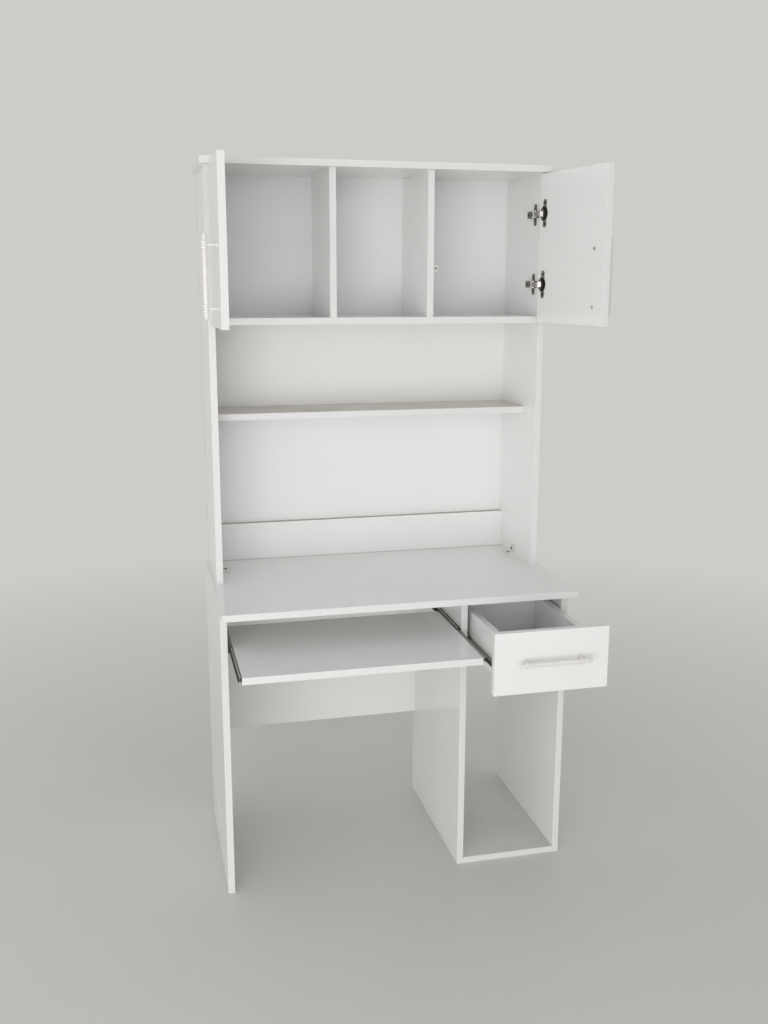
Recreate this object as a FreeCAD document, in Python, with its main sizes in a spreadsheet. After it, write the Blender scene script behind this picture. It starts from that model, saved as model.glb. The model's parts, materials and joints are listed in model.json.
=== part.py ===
import FreeCAD, Part
import math
import os
import re
import Sketcher

# Student desk with hutch: melamine boards, a keyboard tray and a drawer on ball slides,
# two overlay doors on concealed hinges. It is stored as it stands in use, with tray, drawer and doors open.
# Lengths are in millimetres and angles in degrees.
# Every piece is placed from the desktop's front left corner on the floor, x to the right and y to the back.

SIZES = {
    # desk
    "board": 16,
    "edge_round": 0.8,
    "desk_width": 842,
    "desk_depth": 492,
    "desk_height": 714,
    "base_setback": 63,
    "bay_width": 239,
    "modesty_height": 456,
    # hutch
    "hutch_height": 974,
    "hutch_depth": 240,
    "hutch_inset": 10,
    "back_sheet": 3,
    "top_overhang": 17,
    "cabinet_height": 339,
    "compartment_width": 269,
    "shelf_share": 0.6527,
    "shelf_depth": 163,
    "rail_height": 98,
    "block_leg": 25,
    "block_wall": 4,
    "block_length": 34,
    "block_from_front": 106,
    "block_hole": 2.5,
    "catch_proud": 12,
    "catch_length": 20,
    "catch_height": 16,
    "catch_from_front": 3,
    "catch_above_floor": 106,
    "catch_slot": 5,
    # ball slides
    "slide_space": 11,
    "slide_height": 17,
    "slide_length": 350,
    "slide_setback": 2,
    "slide_steel": 1,
    "outer_depth": 9,
    "outer_lip": 2,
    "inner_height": 10,
    "inner_gap": 3,
    "inner_lip": 0.5,
    "inner_setback": 1,
    "cage_gap": 0.5,
    "cage_wall": 0.7,
    "cage_length": 100,
    "ball_play": 0.3,
    "ball_spread": 84,
    # keyboard tray
    "tray_drop": 80,
    "tray_open": 199,
    "tray_rear_margin": 1,
    "tray_slide_rise": 3,
    # drawer
    "drawer_open": 217.5,
    "drawer_gap": 1.5,
    "drawer_reveal": 1,
    "drawer_drop": 14,
    "drawer_front_height": 144,
    "drawer_rear_margin": 5,
    "drawer_side_height": 100,
    "drawer_side_rise": 19,
    "drawer_back_inset": 18,
    "drawer_sheet": 3,
    "groove_rise": 10,
    "groove_depth": 5,
    "groove_play": 0.1,
    "drawer_slide_rise": 29,
    "drawer_handle_rise": 76,
    # handles
    "handle_length": 174,
    "handle_centres": 128,
    "handle_bar": 5,
    "handle_tip": 3.3,
    "handle_tip_round": 2.6,
    "handle_reach": 26.5,
    "handle_post": 3.2,
    "handle_foot": 5.5,
    "handle_foot_height": 2,
    "ring_bead": 1.8,
    "ring_spread": 5.5,
    "screw_shank": 2,
    "screw_play": 0.05,
    "screw_hole": 2.5,
    "screw_grip": 9,
    "screw_bite": 8,
    "screw_head": 4,
    "screw_head_height": 2.4,
    # doors
    "door_rise": 1,
    "door_top_gap": 4,
    "door_lap": 6,
    "door_gap": 2,
    "door_reveal": 1,
    "door_handle_from_edge": 42,
    "door_handle_rise": 106,
    "left_door_angle": 90,
    "right_door_angle": 98,
    # concealed hinges
    "hinge_from_end": 92,
    "link_turn": 0.3856,
    "hinge_pin_in": 15,
    "hinge_pin_back": 2,
    "hinge_pin": 1.5,
    "pin_play": 0.05,
    "eye_wall": 1.1,
    "nose_rim": 0.8,
    "cup_pin_from_edge": 9.73,
    "cup_pin_deep": 2.53,
    "cup_pin_length": 24.8,
    "cup_from_edge": 20.5,
    "cup_radius": 17.5,
    "cup_depth": 11.5,
    "cup_wall": 1,
    "cup_play": 0.2,
    "ear_length": 65,
    "ear_width": 15,
    "ear_shift": 5,
    "ear_sheet": 1.2,
    "ear_hole": 2,
    "ear_hole_shift": 1,
    "ear_hole_spacing": 48,
    "plate_line": 37,
    "plate_wing": 51,
    "plate_wing_width": 14,
    "plate_sheet": 2,
    "plate_hole": 2.5,
    "plate_hole_spacing": 32,
    "plate_saddle": 44,
    "arm_seat": 5,
    "arm_top": 13.5,
    "arm_tail": 62,
    "arm_width": 16,
    "arm_wall": 1.5,
    "arm_hole": 2.4,
    "arm_tail_drop": 2,
    "arm_tail_slope": 4,
    "arm_neck": 14,
    "arm_heel": 20,
    "arm_throat": 6,
    "link_room": 8,
    "link_room_back": 12,
    "room_lap": 1,
    "adjuster_ahead": 9,
    "clamp_behind": 13,
    "link_width": 12,
    "link_half": 1,
    "link_root": 2,
    "link_root_rise": 1.6,
    "link_bend_near": 5.6,
    "link_bend_far": 11.5,
    "link_bend_slack": 0.7,
    "link_hook": 2.8,
    "link_hook_far": 1.6,
    "link_hook_slack": 0.4,
    "link_tip": 1.9,
    "link_tip_rise": 0.9,
    "link_tip_cut": 0.3,
    # where the shared origin stands, on the floor
    "origin_right_of_middle": 16.5,
    "origin_from_front": 144,
}

# Measures that follow from the sizes.
DERIVED = {
    "origin_from_left": "desk_width / 2 + origin_right_of_middle",
    "base_height": "desk_height - board",
    "base_depth": "desk_depth - base_setback",
    "bay_right": "desk_width - board",
    "bay_left": "bay_right - bay_width",
    "partition_left": "bay_left - board",
    "total_height": "desk_height + hutch_height + board",
    "hutch_left_in": "hutch_inset + board",
    "hutch_right_in": "desk_width - hutch_inset - board",
    "hutch_clear": "desk_width - 2 * hutch_inset - 2 * board",
    "hutch_rear": "desk_depth - back_sheet",
    "hutch_front": "hutch_rear - hutch_depth",
    "cabinet_floor_top": "desk_height + hutch_height - cabinet_height",
    "divider_left_face": "hutch_left_in + compartment_width",
    "divider_right_face": "hutch_right_in - compartment_width - board",
    "shelf_top": "desk_height + (cabinet_floor_top - board - desk_height) * shelf_share",
    "slide_front": "base_setback + slide_setback",
    "slide_half": "slide_height / 2",
    "inner_half": "inner_height / 2",
    "ball_radius": "(slide_half - slide_steel - inner_half) / 2 - ball_play",
    "ball_rise": "(slide_half - slide_steel + inner_half) / 2",
    "ball_in": "(inner_gap + outer_depth) / 2",
    "cage_in": "slide_steel + cage_gap",
    "cage_reach": "outer_depth - slide_steel - cage_gap",
    "cage_front": "slide_front + (slide_length - cage_length + inner_setback) / 2",
    "tray_width": "partition_left - board - 2 * slide_space",
    "tray_depth": "slide_setback + inner_setback + slide_length + tray_rear_margin",
    "tray_top": "base_height - tray_drop",
    "tray_slide_height": "tray_top - board / 2 + tray_slide_rise",
    "drawer_front_width": "desk_width - partition_left - drawer_reveal",
    "drawer_front_bottom": "base_height - drawer_drop - drawer_front_height",
    "drawer_side_length": "slide_length + drawer_rear_margin",
    "drawer_face": "base_setback - drawer_gap - board - drawer_open",
    "drawer_box_front": "drawer_face + board",
    "drawer_box_left": "bay_left + slide_space",
    "drawer_box_right": "bay_right - slide_space",
    "drawer_box_bottom": "drawer_front_bottom + drawer_side_rise",
    "drawer_inside": "drawer_box_right - drawer_box_left - 2 * board",
    "drawer_sheet_bottom": "drawer_box_bottom + groove_rise",
    "drawer_slide_height": "drawer_box_bottom + drawer_slide_rise",
    "drawer_back_front": "drawer_box_front + drawer_side_length - drawer_back_inset - board",
    "handle_shoulder": "handle_centres / 2 + ring_spread",
    "screw_length": "board + screw_bite",
    "door_width": "board - door_reveal + compartment_width + door_lap",
    "door_height": "cabinet_height + board - door_rise - door_top_gap",
    "door_middle": "cabinet_floor_top - board + door_rise + door_height / 2",
    "door_handle_below_middle": "door_height / 2 - door_handle_rise",
    "hinge_spacing": "door_height - 2 * hinge_from_end",
    "cup_pin_x": "door_reveal - board + cup_pin_from_edge",
    "cup_pin_y": "0 - door_gap - cup_pin_deep",
    "eye": "hinge_pin + pin_play + eye_wall",
    "nose": "eye + nose_rim",
    "neck_back": "hinge_pin_back + link_room_back",
    "ear_middle": "cup_from_edge + ear_shift",
}

V = FreeCAD.Vector
doc = FreeCAD.newDocument("StudentDesk")
sheet = doc.addObject("Spreadsheet::Sheet", "Sizes")
for row, (alias, value) in enumerate(SIZES.items(), 1):
    sheet.set("A%d" % row, alias)
    sheet.set("B%d" % row, str(value))
    sheet.setAlias("B%d" % row, alias)
doc.recompute()

pieces = []


def fx(text):
    """The expression for a measure written with the names of sizes and derived measures."""
    def word(match):
        name = match.group(0)
        if name in SIZES:
            return "Sizes." + name
        if name in DERIVED:
            return "(" + fx(DERIVED[name]) + ")"
        return name
    return re.sub(r"[a-z][a-z_0-9]*", word, text)


def num(text):
    return float(sheet.evalExpression(fx(text)))


def new_body(label, listed=True):
    body = doc.addObject("PartDesign::Body", label)
    body.Label = label
    if listed:
        pieces.append(body)
    return body


def place(piece, at, rotation=None):
    """Put a piece at a spot of the desk, given from the desktop's front left corner on the floor."""
    if rotation is not None:
        piece.Placement = FreeCAD.Placement(V(0, 0, 0), rotation)
    shifts = (" - origin_from_left", " - origin_from_front", "")
    for axis, text, shift in zip("xyz", at, shifts):
        piece.setExpression("Placement.Base." + axis, fx(text + shift))


def sketch_on(body, role, name, lift=None):
    sketch = body.newObject("Sketcher::SketchObject", body.Name + "_" + name)
    plane = [item for item in body.Origin.OriginFeatures if item.Role == role][0]
    sketch.AttachmentSupport = (plane, [""])
    sketch.MapMode = "FlatFace"
    if lift:
        sketch.setExpression("AttachmentOffset.Base.z", fx(lift))
    return sketch


def fix_point(sketch, shape, corner, spot):
    for kind, text in zip(("DistanceX", "DistanceY"), spot):
        rule = Sketcher.Constraint(kind, -1, 1, shape, corner, num(text))
        index = sketch.addConstraint(rule)
        sketch.setExpression("Constraints[%d]" % index, fx(text))


def outline(sketch, spots):
    """A closed outline of straight edges through the spots."""
    first = sketch.GeometryCount
    count = len(spots)
    corners = [V(num(x), num(y), 0) for x, y in spots]
    for i in range(count):
        sketch.addGeometry(Part.LineSegment(corners[i], corners[(i + 1) % count]), False)
    for i in range(count):
        follower = first + (i + 1) % count
        sketch.addConstraint(Sketcher.Constraint("Coincident", first + i, 2, follower, 1))
    for i in range(count):
        fix_point(sketch, first + i, 1, spots[i])


def rectangle(sketch, low, high):
    outline(sketch, [low, (high[0], low[1]), high, (low[0], high[1])])


def circle(sketch, centre, radius):
    middle = V(num(centre[0]), num(centre[1]), 0)
    shape = sketch.addGeometry(Part.Circle(middle, V(0, 0, 1), num(radius)), False)
    fix_point(sketch, shape, 3, centre)
    index = sketch.addConstraint(Sketcher.Constraint("Radius", shape, num(radius)))
    sketch.setExpression("Constraints[%d]" % index, fx(radius))


def feature(kind, sketch, name):
    body = sketch.getParentGeoFeatureGroup()
    made = body.newObject("PartDesign::" + kind, body.Name + "_" + name)
    made.Profile = sketch
    sketch.Visibility = False
    return made


def pad(sketch, length, name, both=False, back=False):
    made = feature("Pad", sketch, name)
    made.setExpression("Length", fx(length))
    made.SideType = "Symmetric" if both else "One side"
    made.Reversed = back
    return made


def pocket(sketch, depth, name, both=False, back=False):
    """A cut of a depth, or right through both ways where no depth is given."""
    made = feature("Pocket", sketch, name)
    if depth is None:
        made.SideType = "Symmetric"
        made.Type = "ThroughAll"
        return made
    made.setExpression("Length", fx(depth))
    made.SideType = "Symmetric" if both else "One side"
    made.Reversed = back
    return made


def revolve(sketch, name):
    made = feature("Revolution", sketch, name)
    made.ReferenceAxis = (sketch, ["V_Axis"])
    made.Angle = 360
    return made


def fillet(body, wanted, radius, name):
    """Round the edges of the last feature that the test picks."""
    doc.recompute()
    tip = body.Tip
    names = ["Edge%d" % i for i, edge in enumerate(tip.Shape.Edges, 1) if wanted(edge)]
    made = body.newObject("PartDesign::Fillet", body.Name + "_" + name)
    made.Base = (tip, names)
    made.setExpression("Radius", fx(radius))
    return made


def along(edge, axis):
    spots = [vertex.Point for vertex in edge.Vertexes]
    rest = [other for other in range(3) if other != axis]
    return len(spots) == 2 and all(abs(spots[0][k] - spots[1][k]) < 1e-6 for k in rest)


def on_side(edge, box, side):
    axis = "xyz".index(side[0])
    low = (box.XMin, box.YMin, box.ZMin)
    high = (box.XMax, box.YMax, box.ZMax)
    limit = low[axis] if side[1] == "-" else high[axis]
    return all(abs(vertex.Point[axis] - limit) < 1e-6 for vertex in edge.Vertexes)


def soften(body, sides):
    """Round the edges of the banded narrow sides of a board."""
    doc.recompute()
    box = body.Tip.Shape.BoundBox
    return fillet(body, lambda edge: any(on_side(edge, box, side) for side in sides), "edge_round", "round")


def panel(label, size, at, sides=()):
    body = new_body(label)
    sketch = sketch_on(body, "XY_Plane", "outline")
    rectangle(sketch, ("0", "0"), (size[0], size[1]))
    pad(sketch, size[2], "board")
    if sides:
        soften(body, sides)
    place(body, at)
    return body


def pair_of(label, single, half):
    """Two alike pieces at equal distances above and below the middle."""
    single.setExpression("Placement.Base.z", fx(half))
    twin = doc.addObject("Part::Mirroring", label + "_twin")
    twin.Source = single
    twin.Normal = V(0, 0, 1)
    both = doc.addObject("Part::Compound", label)
    both.Label = label
    both.Links = [single, twin]
    pieces.append(both)
    return both


TURNED = FreeCAD.Rotation(V(0, 1, 0), 180)
STRAIGHT = FreeCAD.Rotation()
ALL_SIDES = ("x-", "x+", "y-", "y+", "z-", "z+")

# Base
upright = ("board", "base_depth", "base_height")
panel("base_left_side", upright, ("0", "base_setback", "0"), ["y-"])
panel("base_partition", upright, ("partition_left", "base_setback", "0"), ["y-"])
panel("base_right_side", upright, ("bay_right", "base_setback", "0"), ["y-"])
panel("base_bottom_board", ("bay_right - bay_left", "base_depth", "board"),
      ("bay_left", "base_setback", "0"), ["y-"])
panel("modesty_panel", ("partition_left - board", "board", "modesty_height"),
      ("board", "desk_depth - board", "base_height - modesty_height"), ["z-"])
panel("desktop", ("desk_width", "desk_depth", "board"), ("0", "0", "base_height"), ["x-", "x+", "y-"])

# Hutch
upright = ("board", "hutch_depth", "hutch_height")
panel("hutch_left_side", upright, ("hutch_inset", "hutch_front", "desk_height"), ["y-"])
panel("hutch_right_side", upright, ("hutch_right_in", "hutch_front", "desk_height"), ["y-"])
panel("hutch_top", ("desk_width", "desk_depth - hutch_front + top_overhang", "board"),
      ("0", "hutch_front - top_overhang", "total_height - board"), ["x-", "x+", "y-"])
panel("cabinet_floor", ("hutch_clear", "hutch_depth", "board"),
      ("hutch_left_in", "hutch_front", "cabinet_floor_top - board"), ["y-"])
upright = ("board", "hutch_depth", "cabinet_height")
panel("divider_left", upright, ("divider_left_face", "hutch_front", "cabinet_floor_top"), ["y-"])
panel("divider_right", upright, ("divider_right_face", "hutch_front", "cabinet_floor_top"), ["y-"])
panel("middle_shelf", ("hutch_clear", "shelf_depth", "board"),
      ("hutch_left_in", "hutch_rear - shelf_depth", "shelf_top - board"), ["y-"])
panel("rear_rail", ("hutch_clear", "board", "rail_height"),
      ("hutch_left_in", "hutch_rear - board", "desk_height"), ["z+"])
panel("hutch_back_panel", ("desk_width - 2 * hutch_inset", "back_sheet", "hutch_height"),
      ("hutch_inset", "hutch_rear", "desk_height"))


def corner_block(label, at, rotation):
    """Plastic block in the corner of hutch side and desktop, with a screw hole in each leg."""
    body = new_body(label)
    sketch = sketch_on(body, "XZ_Plane", "outline")
    outline(sketch, [("0", "0"), ("block_leg", "0"), ("block_leg", "block_wall"),
                     ("block_wall * 2", "block_wall * 2"), ("block_wall", "block_leg"), ("0", "block_leg")])
    pad(sketch, "block_length", "block", both=True)
    fillet(body, lambda edge: along(edge, 1) and min(edge.CenterOfMass.x, edge.CenterOfMass.z) > 0.5,
           "block_wall / 4", "round")
    sketch = sketch_on(body, "XY_Plane", "desk_hole")
    circle(sketch, ("block_leg * 0.65", "0"), "block_hole")
    pocket(sketch, None, "desk_cut")
    sketch = sketch_on(body, "YZ_Plane", "side_hole")
    circle(sketch, ("0", "block_leg * 0.65"), "block_hole")
    pocket(sketch, None, "side_cut")
    place(body, at, rotation)


block_middle = "hutch_front + block_from_front + block_length / 2"
corner_block("corner_block_left", ("hutch_left_in", block_middle, "desk_height"), STRAIGHT)
corner_block("corner_block_right", ("hutch_right_in", block_middle, "desk_height"),
             FreeCAD.Rotation(V(0, 0, 1), 180))

# Door catch on the right divider: a block with a slot for a tongue
catch = new_body("door_catch")
sketch = sketch_on(catch, "XY_Plane", "outline")
rectangle(sketch, ("0", "0"), ("catch_proud", "catch_length"))
pad(sketch, "catch_height", "block")
fillet(catch, lambda edge: edge.CenterOfMass.x > 0.1, "edge_round", "round")
sketch = sketch_on(catch, "XZ_Plane", "slot")
rectangle(sketch, ("catch_proud / 4", "(catch_height - catch_slot) / 2"),
          ("catch_proud * 0.8", "(catch_height + catch_slot) / 2"))
pocket(sketch, "catch_length / 2", "slot_cut")
place(catch, ("divider_right_face + board", "hutch_front + catch_from_front",
              "cabinet_floor_top + catch_above_floor"))


def slide_piece(label, spots, length, at, turned):
    """A length of slide profile. The profile starts at the panel and reaches towards the running board."""
    body = new_body(label)
    sketch = sketch_on(body, "XZ_Plane", "profile")
    outline(sketch, spots)
    pad(sketch, length, "length", back=True)
    place(body, at, TURNED if turned else STRAIGHT)
    return body


def slide(label, wall, height, travel, turned):
    """Fixed member, running member and ball retainer of one slide."""
    outer = []
    inner = []
    cage = []
    for side in ("-", ""):
        outer_half = [("0", "slide_half"), ("outer_depth", "slide_half"),
                      ("outer_depth", "slide_half - outer_lip"),
                      ("outer_depth - slide_steel", "slide_half - outer_lip"),
                      ("outer_depth - slide_steel", "slide_half - slide_steel"),
                      ("slide_steel", "slide_half - slide_steel")]
        inner_half = [("slide_space", "inner_half"), ("inner_gap + slide_steel", "inner_half"),
                      ("inner_gap + slide_steel", "inner_half + inner_lip"),
                      ("inner_gap", "inner_half + inner_lip"),
                      ("inner_gap", "inner_half - slide_steel"),
                      ("slide_space - slide_steel", "inner_half - slide_steel")]
        cage_half = [("cage_in", "ball_rise + cage_wall / 2"), ("cage_reach", "ball_rise + cage_wall / 2"),
                     ("cage_reach", "ball_rise - cage_wall / 2"),
                     ("cage_in + cage_wall", "ball_rise - cage_wall / 2")]
        for spots, half in ((outer, outer_half), (inner, inner_half), (cage, cage_half)):
            if side:
                spots.extend((x, "0 - (" + y + ")") for x, y in half)
            else:
                spots.extend(reversed(half))
    slide_piece(label + "_outer", outer, "slide_length", (wall, "slide_front", height), turned)
    slide_piece(label + "_inner", inner, "slide_length",
                (wall, "slide_front + inner_setback - " + travel, height), turned)
    body = slide_piece(label + "_retainer", cage, "cage_length",
                       (wall, "cage_front - " + travel + " / 2", height), turned)
    balls = []
    for name, side in (("upper", ""), ("lower", "0 - ")):
        ball = body.newObject("PartDesign::AdditiveSphere", body.Name + "_ball_" + name)
        ball.setExpression("Radius", fx("ball_radius"))
        ball.setExpression("AttachmentOffset.Base.x", fx("ball_in"))
        ball.setExpression("AttachmentOffset.Base.y", fx("(cage_length - ball_spread) / 2"))
        ball.setExpression("AttachmentOffset.Base.z", fx(side + "(ball_rise)"))
        ball.AttachmentSupport = (body.Origin.OriginFeatures[3], [""])
        ball.MapMode = "ObjectXY"
        balls.append(ball)
    row = body.newObject("PartDesign::LinearPattern", body.Name + "_rows")
    row.Originals = balls
    row.Direction = ([item for item in body.Origin.OriginFeatures if item.Role == "Y_Axis"][0], [""])
    row.setExpression("Length", fx("ball_spread"))
    row.Occurrences = 2
    body.Tip = row


slide("tray_slide_left", "board", "tray_slide_height", "tray_open", False)
slide("tray_slide_right", "partition_left", "tray_slide_height", "tray_open", True)
slide("drawer_slide_left", "bay_left", "drawer_slide_height", "drawer_open", False)
slide("drawer_slide_right", "bay_right", "drawer_slide_height", "drawer_open", True)

panel("keyboard_tray", ("tray_width", "tray_depth", "board"),
      ("board + slide_space", "base_setback - tray_open", "tray_top - board"), ["y-"])

# Drawer
front = panel("drawer_front", ("drawer_front_width", "board", "drawer_front_height"),
              ("desk_width - drawer_front_width", "drawer_face", "drawer_front_bottom"), ALL_SIDES)
front_left = "desk_width - drawer_front_width"
sketch = sketch_on(front, "XZ_Plane", "handle_holes")
for side in ("-", "+"):
    circle(sketch, ("drawer_front_width / 2 " + side + " handle_centres / 2", "drawer_handle_rise"),
           "screw_hole")
pocket(sketch, None, "handle_cut")
sketch = sketch_on(front, "XY_Plane", "sheet_groove", "drawer_side_rise + groove_rise - groove_play")
groove_left = "drawer_box_left + board - groove_depth - (" + front_left + ")"
rectangle(sketch, (groove_left, "board - groove_depth"),
          (groove_left + " + drawer_inside + 2 * groove_depth", "board * 2"))
pocket(sketch, "drawer_sheet + 2 * groove_play", "sheet_cut", back=True)

for label, left, inner in (("drawer_left_side", "drawer_box_left", "board - groove_depth"),
                           ("drawer_right_side", "drawer_box_right - board", "0 - board + groove_depth")):
    side = panel(label, ("board", "drawer_side_length", "drawer_side_height"),
                 (left, "drawer_box_front", "drawer_box_bottom"), ["z+"])
    sketch = sketch_on(side, "XY_Plane", "sheet_groove", "groove_rise - groove_play")
    rectangle(sketch, (inner, "0 - board"), (inner + " + board", "drawer_side_length + board"))
    pocket(sketch, "drawer_sheet + 2 * groove_play", "sheet_cut", back=True)

panel("drawer_back", ("drawer_inside", "board", "drawer_side_height - groove_rise - drawer_sheet"),
      ("drawer_box_left + board", "drawer_back_front", "drawer_sheet_bottom + drawer_sheet"), ["z+"])
sheet_depth = "drawer_back_front + board - drawer_box_front + groove_depth - groove_play"
panel("drawer_bottom", ("drawer_inside + 2 * groove_depth - 2 * groove_play", sheet_depth, "drawer_sheet"),
      ("drawer_box_left + board - groove_depth + groove_play",
       "drawer_box_front - groove_depth + groove_play", "drawer_sheet_bottom"))


def handle(label):
    """Bar handle: turned bar with beads and tapered ends on two posts. The posts point along y."""
    body = new_body(label)
    sketch = sketch_on(body, "XZ_Plane", "bar_profile")
    outline(sketch, [("0", "0 - handle_length / 2"), ("handle_tip", "0 - handle_length / 2"),
                     ("handle_bar", "0 - handle_shoulder"), ("handle_bar", "handle_shoulder"),
                     ("handle_tip", "handle_length / 2"), ("0", "handle_length / 2")])
    revolve(sketch, "bar")
    tip_height = num("handle_length") / 2 - 0.1
    fillet(body, lambda edge: len(edge.Vertexes) == 1 and abs(edge.CenterOfMass.z) > tip_height,
           "handle_tip_round", "tips")
    sketch = sketch_on(body, "XZ_Plane", "bead_profile")
    for end in ("0 - ", ""):
        for side in ("-", "+"):
            middle = end + "(handle_centres / 2 " + side + " ring_spread)"
            rise = ((-0.3, -1), (0.6, -1), (1, -0.5), (1, 0.5), (0.6, 1), (-0.3, 1))
            outline(sketch, [("handle_bar + ring_bead * %g" % out, middle + " + ring_bead * %g" % up)
                             for out, up in rise])
    revolve(sketch, "beads")
    for name, radius, length, lift in (
            ("posts", "handle_post", "handle_reach", "0"),
            ("feet", "handle_foot", "handle_foot_height", "handle_foot_height - handle_reach")):
        sketch = sketch_on(body, "XZ_Plane", name + "_outline", lift)
        for end in ("0 - ", ""):
            circle(sketch, ("0", end + "handle_centres / 2"), radius)
        pad(sketch, length, name, back=True)
    sketch = sketch_on(body, "XZ_Plane", "screw_holes", "0 - handle_reach")
    for end in ("0 - ", ""):
        circle(sketch, ("0", end + "handle_centres / 2"), "screw_shank + screw_play")
    pocket(sketch, "screw_grip", "screw_cut", back=True)
    return body


def handle_screws(label):
    """The two screws of a handle. Their heads point along y, away from the handle."""
    single = new_body(label + "_single", False)
    sketch = sketch_on(single, "XY_Plane", "profile")
    outline(sketch, [("0", "screw_head_height"), ("screw_head * 0.55", "screw_head_height"),
                     ("screw_head", "screw_head_height * 0.35"), ("screw_head", "0"), ("screw_shank", "0"),
                     ("screw_shank", "0 - screw_length"), ("0", "0 - screw_length")])
    revolve(sketch, "turned")
    return pair_of(label, single, "handle_centres / 2")


LEVEL = FreeCAD.Rotation(V(0, 1, 0), 90)
handle_height = "drawer_front_bottom + drawer_handle_rise"
handle_x = "desk_width - drawer_front_width / 2"
place(handle("drawer_handle"), (handle_x, "drawer_face - handle_reach", handle_height), LEVEL)
place(handle_screws("drawer_handle_screws"), (handle_x, "drawer_box_front", handle_height), LEVEL)


# Doors. Their boards are drawn shut: x from the hinge edge, y from the inner face to the back,
# z from the middle.


def hinge_plates(label):
    single = new_body(label + "_single", False)
    sketch = sketch_on(single, "YZ_Plane", "wings")
    rectangle(sketch, ("plate_line - plate_wing_width / 2", "0 - plate_wing / 2"),
              ("plate_line + plate_wing_width / 2", "plate_wing / 2"))
    pad(sketch, "plate_sheet", "wing_sheet")
    fillet(single, lambda edge: along(edge, 0), "plate_wing_width * 0.4", "wing_round")
    sketch = sketch_on(single, "YZ_Plane", "saddle")
    rectangle(sketch, ("plate_line - plate_saddle / 2", "0 - arm_width / 2"),
              ("plate_line + plate_saddle / 2", "arm_width / 2"))
    pad(sketch, "arm_seat", "saddle_block")
    sketch = sketch_on(single, "YZ_Plane", "holes")
    for end in ("0 - ", ""):
        circle(sketch, ("plate_line", end + "plate_hole_spacing / 2"), "plate_hole")
    pocket(sketch, None, "hole_cut")
    return pair_of(label, single, "hinge_spacing / 2")


def hinge_arms(label):
    single = new_body(label + "_single", False)
    nose = ("hinge_pin_in", "hinge_pin_back")
    sketch = sketch_on(single, "XY_Plane", "outline")
    outline(sketch, [("arm_seat", "arm_tail"), ("arm_top - arm_tail_drop", "arm_tail"),
                     ("arm_top", "arm_tail - arm_tail_slope"), ("arm_top", "hinge_pin_back + arm_neck"),
                     ("hinge_pin_in + nose", "hinge_pin_back"), ("hinge_pin_in - nose", "hinge_pin_back"),
                     ("hinge_pin_in - arm_throat", "neck_back"), ("arm_seat", "hinge_pin_back + arm_heel")])
    pad(sketch, "arm_width", "arm", both=True)
    sketch = sketch_on(single, "XY_Plane", "nose_outline")
    circle(sketch, nose, "nose")
    pad(sketch, "arm_width", "nose", both=True)
    sketch = sketch_on(single, "XY_Plane", "link_room")
    rectangle(sketch, ("0", "hinge_pin_back - link_room"), ("hinge_pin_in + link_room", "neck_back"))
    pocket(sketch, "arm_width - 2 * arm_wall", "link_cut", both=True)
    sketch = sketch_on(single, "XY_Plane", "channel")
    rectangle(sketch, ("0", "neck_back - room_lap"), ("arm_top - arm_wall", "arm_tail - arm_wall"))
    pocket(sketch, "arm_width - 2 * arm_wall", "channel_cut", both=True)
    sketch = sketch_on(single, "YZ_Plane", "screw_holes")
    circle(sketch, ("plate_line - adjuster_ahead", "0"), "arm_hole")
    circle(sketch, ("plate_line + clamp_behind", "0"), "arm_hole")
    pocket(sketch, None, "screw_cut")
    sketch = sketch_on(single, "XY_Plane", "pin_outline")
    circle(sketch, nose, "hinge_pin")
    pad(sketch, "arm_width", "pin", both=True)
    return pair_of(label, single, "hinge_spacing / 2")


def hinge_links(label):
    """The link of each hinge, drawn for the shut door, round the fixed pin as its own origin."""
    single = new_body(label + "_single", False)
    reach = ("cup_pin_x - hinge_pin_in", "cup_pin_y - hinge_pin_back")

    def spot(x, y):
        return (reach[0] + x, reach[1] + y)

    sketch = sketch_on(single, "XY_Plane", "outline")
    outline(sketch, [spot("", " - eye + link_tip_cut"),
                     spot(" + link_bend_near", " - link_hook - link_half"),
                     spot(" + link_bend_far", " - link_hook_far - link_half"),
                     ("link_root", "0 - link_root"), ("0 - link_root", "link_root_rise"),
                     spot(" + link_bend_far - link_bend_slack",
                          " - link_hook_far + link_hook_slack + link_half"),
                     spot(" + link_bend_near + link_bend_slack", " - link_hook + link_half"),
                     spot(" + link_tip", " + link_tip_rise")])
    pad(sketch, "link_width", "strap", both=True)
    sketch = sketch_on(single, "XY_Plane", "eye_outline")
    circle(sketch, ("0", "0"), "eye")
    circle(sketch, reach, "eye")
    pad(sketch, "link_width", "eyes", both=True)
    sketch = sketch_on(single, "XY_Plane", "pin_holes")
    circle(sketch, ("0", "0"), "hinge_pin + pin_play")
    circle(sketch, reach, "hinge_pin + pin_play")
    pocket(sketch, None, "pin_cut")
    return pair_of(label, single, "hinge_spacing / 2")


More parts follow.
